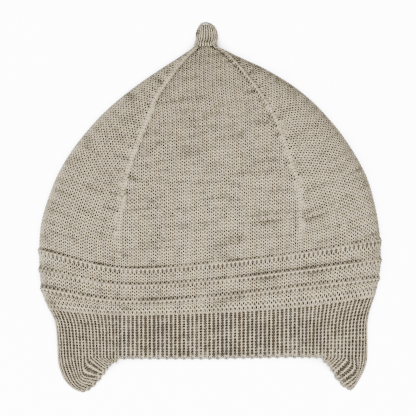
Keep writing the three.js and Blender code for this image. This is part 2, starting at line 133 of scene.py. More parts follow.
# The outline seen from the front, upwards: share of the section, then the fold edges as
# shares of half the flat width, the front layer's height and that of the fold edges as
# shares of the loft.
OUTLINE_COLUMNS = ("height", "left", "right", "roof", "edge")
OUTLINE_ROWS = (
    (Section.FLAP, 0.0, -0.768, 0.828, 0.18, 0.09),
    (Section.FLAP, 0.1, -0.806, 0.844, 0.19, 0.091),
    (Section.FLAP, 0.33, -0.853, 0.874, 0.22, 0.093),
    (Section.FLAP, 0.57, -0.876, 0.9, 0.26, 0.097),
    (Section.FLAP, 0.8, -0.89, 0.917, 0.31, 0.102),
    (Section.RIB, 0.0, -0.894, 0.924, 0.36, 0.107),
    (Section.RIB, 0.38, -0.898, 0.924, 0.43, 0.12),
    (Section.RIB, 0.73, -0.907, 0.924, 0.49, 0.135),
    (Section.RIB, 0.91, -0.924, 0.93, 0.53, 0.145),
    (Section.BAND, 0.08, -0.95, 0.942, 0.57, 0.155),
    (Section.BAND, 0.25, -0.971, 0.959, 0.62, 0.165),
    (Section.BAND, 0.42, -0.986, 0.974, 0.67, 0.175),
    (Section.BAND, 0.75, -0.997, 0.993, 0.75, 0.19),
    (Section.CROWN, 0.0, -1.0, 1.0, 0.82, 0.205),
    (Section.CROWN, 0.09, -1.0, 0.999, 0.89, 0.22),
    (Section.CROWN, 0.17, -0.992, 0.989, 0.94, 0.235),
    (Section.CROWN, 0.24, -0.972, 0.974, 0.97, 0.245),
    (Section.CROWN, 0.315, -0.941, 0.952, 0.99, 0.25),
    (Section.CROWN, 0.39, -0.904, 0.923, 1.0, 0.25),
    (Section.CROWN, 0.46, -0.858, 0.881, 0.99, 0.25),
    (Section.CROWN, 0.535, -0.797, 0.825, 0.97, 0.245),
    (Section.CROWN, 0.61, -0.722, 0.759, 0.92, 0.235),
    (Section.CROWN, 0.684, -0.638, 0.68, 0.86, 0.22),
    (Section.CROWN, 0.758, -0.535, 0.588, 0.78, 0.205),
    (Section.CROWN, 0.83, -0.418, 0.472, 0.68, 0.185),
    (Section.CROWN, 0.905, -0.279, 0.312, 0.55, 0.165),
    (Section.CROWN, 0.942, -0.206, 0.209, 0.47, 0.155),
    (Section.CROWN, 0.97, -0.153, 0.134, 0.39, 0.145),
    (Section.CROWN, 0.988, -0.118, 0.088, 0.33, 0.138),
    (Section.CROWN, 1.0, -0.098, 0.047, 0.29, 0.135),
)

# Courses from the brow edge to the neck: section, then where the course meets the left
# fold edge, crosses the left narrowing line (across and up), the middle, the right
# narrowing line (across and up) and the right fold edge.
COURSE_COLUMNS = ("course", "left_up", "knee_left", "knee_left_up", "mid_up", "knee_right",
                  "knee_right_up", "right_up")
COURSE_ROWS = (
    (Section.RIB, 0, -0.524, 0, 0, 0.518, 0.035, 0),
    (Section.BAND, 0.073, -0.524, -0.035, 0.01, 0.518, 0.135, 0.354),
    (Section.BAND, 0.49, -0.524, 0.23, 0.302, 0.518, 0.51, 0.688),
    (Section.BAND, 0.885, -0.524, 0.565, 0.646, 0.518, 0.854, 1.083),
    (Section.CROWN, 0.065, -0.524, -0.02, 0, 0.518, 0.048, 0.111),
    (Section.CROWN, 0.263, -0.528, 0.157, 0.194, 0.52, 0.231, 0.356),
    (Section.CROWN, 0.42, -0.509, 0.305, 0.342, 0.506, 0.374, 0.51),
    (Section.CROWN, 0.564, -0.479, 0.425, 0.457, 0.459, 0.49, 0.63),
    (Section.CROWN, 0.681, -0.426, 0.545, 0.573, 0.412, 0.605, 0.734),
    (Section.CROWN, 0.774, -0.365, 0.663, 0.688, 0.347, 0.716, 0.827),
    (Section.CROWN, 0.843, -0.315, 0.767, 0.79, 0.271, 0.808, 0.885),
    (Section.CROWN, 0.896, -0.244, 0.85, 0.873, 0.194, 0.887, 0.931),
    (Section.CROWN, 0.942, -0.182, 0.921, 0.933, 0.132, 0.945, 0.961),
    (Section.CROWN, 0.979, -0.121, 0.97, 0.979, 0.079, 0.982, 0.988),
    (Section.CROWN, 1, -0.08, 1, 1, 0.03, 1, 1),
)
RIB_TOP = 1.0
CROWN_START = 4.3
KINK_COURSE = 6.5  # from here up the courses bend sharply at the narrowing lines
NECK_COURSE = 14.0

# Soft creases of the front layer: place across as a share of half the flat width, lift
# and breadth as shares of the loft, and the stretch of the bonnet's length as shares.
CREASES = (
    (0.69, -0.05, 0.19, 0.2, 0.44),
    (0.785, 0.032, 0.07, 0.19, 0.42),
    (-0.6, -0.03, 0.2, 0.24, 0.38),
)
CREASE_POWER = 0.7  # the lower, the sooner a crease is at its full depth

# A flap's free edge: step along it, then across as a share of the root's breadth and up as
# a share of the rise from the tip.
EDGE_COLUMNS = ("step", "across", "up")
EDGE_ROWS = (
    (0.0, 0.36, 0.0),
    (0.2, 0.505, 0.1),
    (0.42, 0.66, 0.333),
    (0.6, 0.76, 0.565),
    (0.8, 0.86, 0.797),
    (1.0, 1.0, 0.945),
)

# Where on that edge a flap's wales end: share of the root, then the step.
END_COLUMNS = ("root", "step")
END_ROWS = (
    (0.0, 0.0), (0.2, 0.24), (0.41, 0.5), (0.5, 0.62),
    (0.6, 0.72), (0.7, 0.8), (0.85, 0.91), (1.0, 1.0),
)

# Where a flap's wales turn: share of the root, then across as a share of its breadth and up
# as a share of the flap's drop.
TURN_COLUMNS = ("root", "across", "up")
LEFT_TURN_ROWS = (
    (0.0, 0.36, 0.0), (0.2, 0.41, 0.25), (0.41, 0.447, 0.507),
    (0.49, 0.5, 0.884), (0.56, 0.57, 1.0), (1.0, 1.0, 1.0),
)
RIGHT_TURN_ROWS = (
    (0.0, 0.36, 0.06), (0.12, 0.31, 0.3), (0.25, 0.25, 0.565), (0.32, 0.32, 0.652),
    (0.464, 0.464, 0.942), (0.52, 0.52, 1.0), (1.0, 1.0, 1.0),
)

# The stem's sections upwards: share of its length, then how far its middle is shifted and
# half its breadth, as shares of its width.
STEM_COLUMNS = ("up", "middle", "half")
STEM_ROWS = (
    (0.0, 0.0, 0.5),
    (0.14, 0.0, 0.475),
    (0.27, 0.045, 0.478),
    (0.5, 0.06, 0.46),
    (0.73, 0.045, 0.4),
    (0.87, 0.03, 0.3),
    (0.96, 0.0, 0.17),
    (1.0, 0.0, 0.06),
)


class Table:
    """Rows with named columns, read between the rows."""

    def __init__(self, columns: tuple[str, ...], rows: np.ndarray) -> None:
        """Keeps the rows by column.

        Args:
            columns: the columns' names; the first is the one that is read along.
            rows: the rows.
        """
        self.along = rows[:, 0]
        self.columns = {name: rows[:, i] for i, name in enumerate(columns)}

    def at(self, column: str, place: np.ndarray) -> np.ndarray:
        """Values of a column at places along the first one.

        Args:
            column: the column's name.
            place: where to read it.

        Returns:
            The column's values there, from cubics with shared slopes at the rows.
        """
        return smooth_between(self.along, self.columns[column], place)

    def straight_at(self, column: str, place: np.ndarray) -> np.ndarray:
        """Values of a column at places along the first one, on straight lines."""
        return np.interp(place, self.along, self.columns[column])


def smooth_between(along: np.ndarray, values: np.ndarray, place: np.ndarray) -> np.ndarray:
    """Reads values on a smooth curve through their rows.

    Args:
        along: where the rows are, ascending.
        values: the rows' values.
        place: where to read.

    Returns:
        The values at those places.
    """
    place = np.asarray(place, float)
    i = np.clip(np.searchsorted(along, place, side="right") - 1, 0, len(along) - 2)
    before = np.maximum(np.arange(len(along)) - 1, 0)
    after = np.minimum(np.arange(len(along)) + 1, len(along) - 1)
    slope = (values[after] - values[before]) / (along[after] - along[before])
    span = along[i + 1] - along[i]
    t = np.clip((place - along[i]) / span, 0, 1)
    return (
        (2 * t**3 - 3 * t**2 + 1) * values[i]
        + (t**3 - 2 * t**2 + t) * span * slope[i]
        + (3 * t**2 - 2 * t**3) * values[i + 1]
        + (t**3 - t**2) * span * slope[i + 1]
    )


def smooth_step(value: float, start: float, end: float) -> float:
    """Rises from 0 to 1, with level ends.

    Args:
        value: where to read it.
        start: where it starts to rise.
        end: where it is 1.

    Returns:
        The height there.
    """
    t = min(max((value - start) / (end - start), 0.0), 1.0)
    return t * t * (3 - 2 * t)


OUTLINE = Table(
    OUTLINE_COLUMNS,
    np.array([(section.height(up), *rest) for section, up, *rest in OUTLINE_ROWS]),
)
COURSES = Table(
    COURSE_COLUMNS,
    np.array([
        (i, s.height(left), knee_l, s.height(knee_l_up), s.height(mid), knee_r,
         s.height(knee_r_up), s.height(right))
        for i, (s, left, knee_l, knee_l_up, mid, knee_r, knee_r_up, right)
        in enumerate(COURSE_ROWS)
    ]),
)
FLAP_EDGE = Table(EDGE_COLUMNS, np.array(EDGE_ROWS))
WALE_ENDS = Table(END_COLUMNS, np.array(END_ROWS))
FLAP_TURNS = {
    Quarter.LEFT: Table(TURN_COLUMNS, np.array(LEFT_TURN_ROWS)),
    Quarter.RIGHT: Table(TURN_COLUMNS, np.array(RIGHT_TURN_ROWS)),
}
STEM_SECTION = Table(STEM_COLUMNS, np.array(STEM_ROWS))


def layer_height(x: np.ndarray, height: np.ndarray, front: np.ndarray) -> np.ndarray:
    """Height of the cloth's outer face over the floor.

    Args:
        x: places across.
        height: places along, over the flap tips.
        front: true for the front layer, false for the back one.

    Returns:
        The heights.
    """
    left = HALF_WIDTH * OUTLINE.at("left", height)
    right = HALF_WIDTH * OUTLINE.at("right", height)
    half = (right - left) / 2
    out = np.minimum(np.abs(x - (left + right) / 2) / half, 1)
    bead = FOLD_RADIUS * np.sqrt(1 - (1 - np.minimum((1 - out) * half / FOLD_RADIUS, 1)) ** 2)
    edge = LOFT * OUTLINE.at("edge", height)
    roof = LOFT * OUTLINE.at("roof", height)
    for across, lift, breadth, start, end in CREASES:
        share = np.clip((height / TOTAL_LENGTH - start) / (end - start), 0, 1)
        away = (x - across * HALF_WIDTH) / (breadth * LOFT)
        roof = roof + lift * LOFT * np.exp(-away**2) * np.sin(math.pi * share) ** CREASE_POWER
    dome = np.sqrt(1 - out**ROOF_POWER)
    turn = np.maximum((out - FLOOR_SHARE) / (1 - FLOOR_SHARE), 0)
    over = edge + bead + (roof - edge - FOLD_RADIUS) * dome
    under = edge - bead - (edge - FOLD_RADIUS) * np.sqrt(1 - turn**FOLD_POWER)
    return np.where(front, over, under)


class Surface:
    """A grid of points and outward normals that stitches are laid on."""

    OVERRUN = 1.5  # grid rows that stitches may run on from the last but one
    LEAST = 1e-12  # shortest normal that is divided by its length

    def __init__(self, points: np.ndarray, step: float, is_loop: bool) -> None:
        """Works out the normals of a grid of points.

        Args:
            points: grid of points, rows upwards, columns round the bonnet.
            step: from grid row to grid row, of the row coordinate, which starts at 0.
            is_loop: whether the last column meets the first.
        """
        self.points, self.step, self.is_loop = points, step, is_loop
        if is_loop:
            along = np.roll(points, -1, 1) - np.roll(points, 1, 1)
        else:
            along = np.gradient(points, axis=1)
        self.normals = self.unit(np.cross(along, np.gradient(points, axis=0)))

    def unit(self, vectors: np.ndarray) -> np.ndarray:
        """Vectors of the same directions and of length 1."""
        return vectors / np.maximum(np.linalg.norm(vectors, axis=-1, keepdims=True), self.LEAST)

    def lay(self, column: np.ndarray, row: np.ndarray, off: np.ndarray) -> np.ndarray:
        """Points on and off the surface.

        Args:
            column: column coordinates, counted in grid columns.
            row: row coordinates.
            off: distances out from the surface.

        Returns:
            The points.
        """
        rows, columns = self.points.shape[:2]
        r = row / self.step
        r0 = np.clip(np.floor(r).astype(int), 0, rows - 2)
        fr = np.minimum(r - r0, self.OVERRUN)[..., None]
        c0 = np.floor(column).astype(int)
        if not self.is_loop:
            c0 = np.clip(c0, 0, columns - 2)
        fc = (column - c0)[..., None]
        c0, c1 = c0 % columns, (c0 + 1) % columns

        def read(grid: np.ndarray) -> np.ndarray:
            """Reads a grid between its points.

            Args:
                grid: values at the grid's points.

            Returns:
                The values at the stitches' places.
            """
            low = grid[r0, c0] * (1 - fc) + grid[r0, c1] * fc
            high = grid[r0 + 1, c0] * (1 - fc) + grid[r0 + 1, c1] * fc
            return low * (1 - fr) + high * fr

        return read(self.points) + self.unit(read(self.normals)) * off[..., None]


class Pouch:
    """The whole pouch as one surface, four quarters round, from brow edge to neck."""

    SAMPLES = 72  # columns of each half quarter
    FINE = 97  # points that a stretch of a course is measured on
    COURSE_STEP = 0.05
    # Places across: the left fold, the left line, the middle, the right line, the right fold.
    ACROSS = np.array([-1, -0.5, 0, 0.5, 1.0])

    def __init__(self) -> None:
        """Lays out every course at even steps and measures the quarters."""
        courses = np.arange(0, NECK_COURSE + self.COURSE_STEP / 2, self.COURSE_STEP)
        self.courses = courses
        self.surface = Surface(
            np.stack([self.course(float(c)) for c in courses]), self.COURSE_STEP, True
        )
        self.per_quarter = 2 * self.SAMPLES
        points = self.surface.points
        steps = np.linalg.norm(np.roll(points, -1, 1) - points, axis=2)
        quarters = steps.reshape(len(courses), 4, self.per_quarter).sum(2)
        self.half_wales = quarters / quarters[np.searchsorted(courses, CROWN_START)] * WALES / 2

    def course(self, course: float) -> np.ndarray:
        """One course as a loop of points.

        Args:
            course: which course.

        Returns:
            The points: front, right, back and left quarter, each evenly spaced.
        """
        at = {name: float(COURSES.at(name, course)) for name in COURSE_COLUMNS[1:]}
        fold_x = {
            side: HALF_WIDTH * float(OUTLINE.at(side, at[side + "_up"]))
            for side in ("left", "right")
        }
        knee_left, knee_right = HALF_WIDTH * at["knee_left"], HALF_WIDTH * at["knee_right"]
        xs = np.array([fold_x["left"], knee_left, (knee_left + knee_right) / 2, knee_right,
                       fold_x["right"]])
        ys = np.array([at[k] for k in ("left_up", "knee_left_up", "mid_up", "knee_right_up",
                                       "right_up")])
        kinked = smooth_step(course, CROWN_START, KINK_COURSE)

        def stretch(start: float, end: float, front: bool, count: int) -> np.ndarray:
            """Even points along a stretch of one layer.

            Args:
                start: place across where it starts.
                end: place across where it ends.
                front: true for the front layer, false for the back one.
                count: how many points.

            Returns:
                The points, without the one at its end.
            """
            turn = (1 - np.cos(np.linspace(0, math.pi, self.FINE))) / 2
            place = start + (end - start) * turn
            x = smooth_between(self.ACROSS, xs, place)
            y = smooth_between(self.ACROSS, ys, place)
            x += kinked * (np.interp(place, self.ACROSS, xs) - x)
            y += kinked * (np.interp(place, self.ACROSS, ys) - y)
            fine = np.stack([x, y, layer_height(x, y, np.full(x.shape, front))], axis=1)
            run = np.concatenate([[0], np.cumsum(np.linalg.norm(np.diff(fine, axis=0), axis=1))])
            even = np.linspace(0, run[-1], count, endpoint=False)
            return np.stack([np.interp(even, run, fine[:, i]) for i in range(3)], axis=1)

        half = self.SAMPLES
        return np.concatenate([
            stretch(-0.5, 0.5, True, 2 * half),
            stretch(0.5, 1, True, half),
            stretch(1, 0.5, False, half),
            stretch(0.5, -0.5, False, 2 * half),
            stretch(-0.5, -1, False, half),
            stretch(-1, -0.5, True, half),
        ])

    def course_of_row(self, quarter: int, pitch: float) -> np.ndarray:
        """Courses of the crown's rows in one quarter.

        Args:
            quarter: 0 front, 1 right, 2 back, 3 left.
            pitch: the height of a row.

        Returns:
            The course at each row's start, and at the last row's end.
        """
        first = int(np.searchsorted(self.courses, CROWN_START))
        lines = [quarter * self.per_quarter, quarter * self.per_quarter + self.SAMPLES]
        paths = self.surface.points[first:][:, lines]
        run = np.linalg.norm(np.diff(paths, axis=0), axis=2).mean(1)
        run = np.concatenate([[0], np.cumsum(run)])
        rows = round(run[-1] / pitch)
        return np.interp(np.linspace(0, run[-1], rows + 1), run, self.courses[first:])

    def half_at(self, quarter: int, course: np.ndarray) -> np.ndarray:
        """Half the number of wales in a quarter at some courses."""
        return np.interp(course, self.courses, self.half_wales[:, quarter])

    def column(self, quarter: np.ndarray, share: np.ndarray) -> np.ndarray:
        """Grid column of a share from -1 to 1 across a quarter."""
        return (quarter + (share + 1) / 2) * self.per_quarter


@dataclass(frozen=True)
class Yarn:
    """One loop of yarn: the cell that every stitch copies."""

    SEAM = 1e-4  # places on the straight tube that are this close are the same
    SWELL_POWER = 4  # the higher, the closer the swelling keeps to heads and feet
    # On the tube's map each closed end has a small patch of its own, past the sides.
    END_SPACING = 0.9
    END_PATCH = 0.04
    END_PLACE = (0.02, 1.01)

    wale: float = 2.07 * MM
    row: float = 1.64 * MM
    radius: float = 0.26 * MM
    swell: float = 2.0  # how much broader the heads and feet are than the legs
    lean: float = 0.3  # of the loop's width, how far the legs swing out and in
    reach: float = 0.6  # of the row, half the loop's height
    depth: float = 0.6 * MM  # how far the legs stand in front of the heads
    nod: float = 0.0  # how far the feet stand out and the heads in, on a knit loop
    painted_shade_share: float = 1.0  # how dark the painted shade at the back of the loop gets, as a share
    bends: int = 8  # stretches along the tube
    sides: int = 4

    @property
    def cover(self) -> float:
        """From the cloth's outer face in to the middle of the heads and feet."""
        return self.depth + self.radius

    def tube(self) -> tuple[np.ndarray, np.ndarray, np.ndarray]:
        """Models the loop once as a straight closed tube, from a flat grid rolled up.

        Returns:
            The vertices as places along and round the yarn from 0 to 1, the faces, and
            the places of each face's corners, which run on over the seam.
        """
        bpy.ops.object.select_all(action="DESELECT")
        bpy.ops.mesh.primitive_grid_add(
            x_subdivisions=self.bends, y_subdivisions=self.sides, size=1, location=(0.5, 0.5, 0)
        )
        rolled = bpy.context.object
        bpy.ops.object.transform_apply(location=True)
        for v in rolled.data.vertices:
            turn = 2 * math.pi * v.co.y
            v.co.y, v.co.z = math.cos(turn), math.sin(turn)
        bpy.ops.object.mode_set(mode="EDIT")
        bpy.ops.mesh.select_all(action="SELECT")
        bpy.ops.mesh.remove_doubles(threshold=self.SEAM)
        bpy.ops.mesh.fill_holes(sides=self.sides)
        bpy.ops.mesh.normals_make_consistent(inside=False)
        bpy.ops.object.mode_set(mode="OBJECT")
        spots = np.array([
            (v.co.x, math.atan2(v.co.z, v.co.y) / (2 * math.pi) % 1.0)
            for v in rolled.data.vertices
        ])
        faces = np.array([tuple(p.vertices) for p in rolled.data.polygons])
        bpy.data.objects.remove(rolled)
        corners = spots[faces]
        over = corners[:, :, 1] < corners[:, :, 1].max(1, keepdims=True) - 0.5
        corners[:, :, 1] += over
        ends = np.ptp(corners[:, :, 0], axis=1) < self.SEAM
        square = np.array([(0, 0), (1, 0), (1, 1), (0, 1)])
        corners[ends] = (
            corners[ends][:, :1] * (self.END_SPACING, 0) + self.END_PATCH * square + self.END_PLACE
        )
        return spots, faces, corners

    def bent(self, spots: np.ndarray, facing: np.ndarray, width: np.ndarray) -> np.ndarray:
        """Bends the tube into loops.

        Args:
            spots: the tube's vertices as places along and round the yarn.
            facing: 1 for knit and -1 for purl, one for each loop.
            width: the wales that each loop spans.

        Returns:
            For each loop and vertex: wales across, rows up, and metres out.
        """
        theta = 2 * math.pi * spots[:, 0]
        phi = 2 * math.pi * spots[:, 1]
        across = self.wale * width[:, None]
        path = np.stack(np.broadcast_arrays(
            across * (theta / (2 * math.pi) - 0.5 + self.lean * np.sin(2 * theta)),
            -self.row * self.reach * np.cos(theta),
            self.depth * np.abs(np.sin(theta)) + self.nod * np.cos(theta),
        ), axis=2)
        way = np.stack(np.broadcast_arrays(
            across * (1 / (2 * math.pi) + 2 * self.lean * np.cos(2 * theta)),
            self.row * self.reach * np.sin(theta),
            self.depth * np.cos(theta) * np.sign(np.sin(theta)) - self.nod * np.sin(theta),
        ), axis=2)
        way /= np.linalg.norm(way, axis=2, keepdims=True)
        side = np.cross([0, 0, 1.0], way)
        side /= np.linalg.norm(side, axis=2, keepdims=True)
        up = np.cross(way, side)
        broad = (1 + self.swell * np.cos(theta) ** self.SWELL_POWER) * np.cos(phi)
        loops = path + self.radius * (broad[:, None] * side + np.sin(phi)[:, None] * up)
        loops[:, :, 2] *= facing[:, None]
        return loops / np.array([self.wale, self.row, 1.0])


@dataclass
class Stitches:
    """Places of a run of stitches on one surface."""

    wale: list[float] = field(default_factory=list)
    row: list[float] = field(default_factory=list)
    facing: list[float] = field(default_factory=list)
    group: list[int] = field(default_factory=list)
    width: list[float] = field(default_factory=list)

    def add(
        self, wale: float, row: float, facing: Stitch, group: int = 0, width: float = 1.0
    ) -> None:
        """Adds one stitch.

        Args:
            wale: its wale.
            row: its row.
            facing: which face looks outwards.
            group: the number that its surface knows it by, such as its quarter.
            width: the wales that it spans.
        """
        self.width.append(width)
        self.wale.append(wale)
        self.row.append(row)
        self.facing.append(facing.value)
        self.group.append(group)


class Sockets:
    """A socket in a shader, with sums written as plain expressions."""

    def __init__(self, tree: bpy.types.NodeTree, socket: bpy.types.NodeSocket) -> None:
        """Wraps an output socket of a tree."""
        self.tree, self.socket = tree, socket

    def _math(
        self, operation: str, first: "Sockets | float", second: "Sockets | float"
    ) -> "Sockets":
        """Adds a Math node.

        Args:
            operation: the node's operation.
            first: its first value or socket.
            second: its second value or socket.

        Returns:
            The node's result.
        """
        node = self.tree.nodes.new("ShaderNodeMath")
        node.operation = operation
        for slot, value in zip(node.inputs, (first, second)):
            if isinstance(value, Sockets):
                self.tree.links.new(value.socket, slot)
            else:
                slot.default_value = value
        return Sockets(self.tree, node.outputs[0])

    def __add__(self, other: "Sockets | float") -> "Sockets":
        """Sum."""
        return self._math("ADD", self, other)

    __radd__ = __add__

    def __sub__(self, other: "Sockets | float") -> "Sockets":
        """Difference."""
        return self._math("SUBTRACT", self, other)

    def __rsub__(self, other: "Sockets | float") -> "Sockets":
        """Difference, the other way round."""
        return self._math("SUBTRACT", other, self)

    def __mul__(self, other: "Sockets | float") -> "Sockets":
        """Product."""
        return self._math("MULTIPLY", self, other)

    __rmul__ = __mul__


class Nodes:
    """The nodes of a material or of the world, which all come from one method."""

    def __init__(self, owner: bpy.types.Material | bpy.types.World) -> None:
        """Empties the owner's tree."""
        owner.use_nodes = True
        self.tree = owner.node_tree
        self.tree.nodes.clear()

    def add(
        self, kind: str, settings: dict[str, object], values: dict[str, object]
    ) -> bpy.types.Node:
        """Adds a node, its settings first, then the values or links of its sockets.

        Args:
            kind: the node's type.
            settings: the node's own settings by name.
            values: its sockets' values or the sockets that feed them, by name.

        Returns:
            The node.
        """
        node = self.tree.nodes.new(kind)
        for name, value in settings.items():
            setattr(node, name, value)
        for name, value in values.items():
            slot = next(s for s in node.inputs if s.name == name and s.enabled)
            if isinstance(value, bpy.types.NodeSocket):
                self.tree.links.new(value, slot)
            else:
                slot.default_value = value
        return node

    def sums(self, socket: bpy.types.NodeSocket) -> Sockets:
        """A socket that can stand in a sum."""
        return Sockets(self.tree, socket)


@dataclass(frozen=True)
class MelangeYarn:
    """The yarn's finish: beige fibres of two tones, matt, with a soft fuzz, and shade painted into
    its colour where the yarn lies deep in its loop.
    """

    pale: tuple[float, float, float, float] = (0.85, 0.73, 0.51, 1)
    # the dark fibres' tone, and the colour of the painted shade
    dark_fibre_and_shade: tuple[float, float, float, float] = (0.11, 0.09, 0.065, 1)
    roughness: float = 0.95
    specular: float = 0.1
    sheen: float = 0.05
    sheen_roughness: float = 0.6
    shade_from: float = 0.3  # depth in the loop, as a share, where the painted shade starts
    shade_to: float = 0.62  # and where it is full dark
    streak: float = 0.12  # scale of the streaks of one tone along the courses
    streak_detail: float = 3.0
    streak_roughness: float = 0.65
    strand: float = 1.08  # scale of the short strands of one tone
    fibre: float = 2600.0  # scale of the fibres
    fine_detail: float = 2.0  # of the strands and the fibres
    streak_weight: float = 1.9
    strand_weight: float = 0.9
    fibre_weight: float = 0.4
    drop: float = 0.67  # taken off the sum of the three
    fuzz: float = 0.5
    fuzz_height: float = 0.1 * MM

    def material(self) -> bpy.types.Material:
        """Builds the material, on the yarn's own map, on Object coordinates and on the painted
        shade attribute.

        Returns:
            The material.
        """
        made = bpy.data.materials.new("beige_melange_yarn")
        nodes = Nodes(made)
        knit_map = nodes.add("ShaderNodeUVMap", {"uv_map": KnittedPiece.YARN_MAP}, {})
        streaks = nodes.add(
            "ShaderNodeTexNoise", {"noise_dimensions": "2D"},
            {"Vector": knit_map.outputs[0], "Scale": self.streak,
             "Detail": self.streak_detail, "Roughness": self.streak_roughness},
        )
        strands = nodes.add(
            "ShaderNodeTexNoise", {"noise_dimensions": "2D"},
            {"Vector": knit_map.outputs[0], "Scale": self.strand, "Detail": self.fine_detail},
        )
        place = nodes.add("ShaderNodeTexCoord", {}, {})
        fibres = nodes.add(
            "ShaderNodeTexNoise", {},
            {"Vector": place.outputs["Object"], "Scale": self.fibre,
             "Detail": self.fine_detail},
        )
        painted_shade = nodes.add(
            "ShaderNodeAttribute", {"attribute_name": KnittedPiece.PAINTED_SHADE_NAME}, {}
        )
        shaded = nodes.add(
            "ShaderNodeMapRange", {"interpolation_type": "SMOOTHSTEP"},
            {"Value": painted_shade.outputs["Fac"], "From Min": self.shade_from,
             "From Max": self.shade_to},
        )
        broad, short, fine, depth = (
            nodes.sums(socket) for socket in (
                streaks.outputs[0], strands.outputs[0], fibres.outputs[0],
                shaded.outputs["Result"],
            )
        )
        # painted shade: the deeper the yarn lies in its loop, the nearer its colour comes to the
        # dark one
        tone = (
            self.streak_weight * broad + self.strand_weight * short
            + self.fibre_weight * fine - self.drop - depth
        )
        mixed = nodes.add(
            "ShaderNodeMix", {"data_type": "RGBA"},
            {"Factor": tone.socket, "A": self.dark_fibre_and_shade, "B": self.pale},
        )
        bump = nodes.add(
            "ShaderNodeBump", {},
            {"Height": fine.socket, "Strength": self.fuzz, "Distance": self.fuzz_height},
        )
        shader = nodes.add(
            "ShaderNodeBsdfPrincipled", {},
            {"Base Color": mixed.outputs[2], "Roughness": self.roughness,
             "Sheen Weight": self.sheen, "Sheen Roughness": self.sheen_roughness,
             "Specular IOR Level": self.specular, "Normal": bump.outputs[0]},
        )
        nodes.add("ShaderNodeOutputMaterial", {}, {"Surface": shader.outputs[0]})
        return made


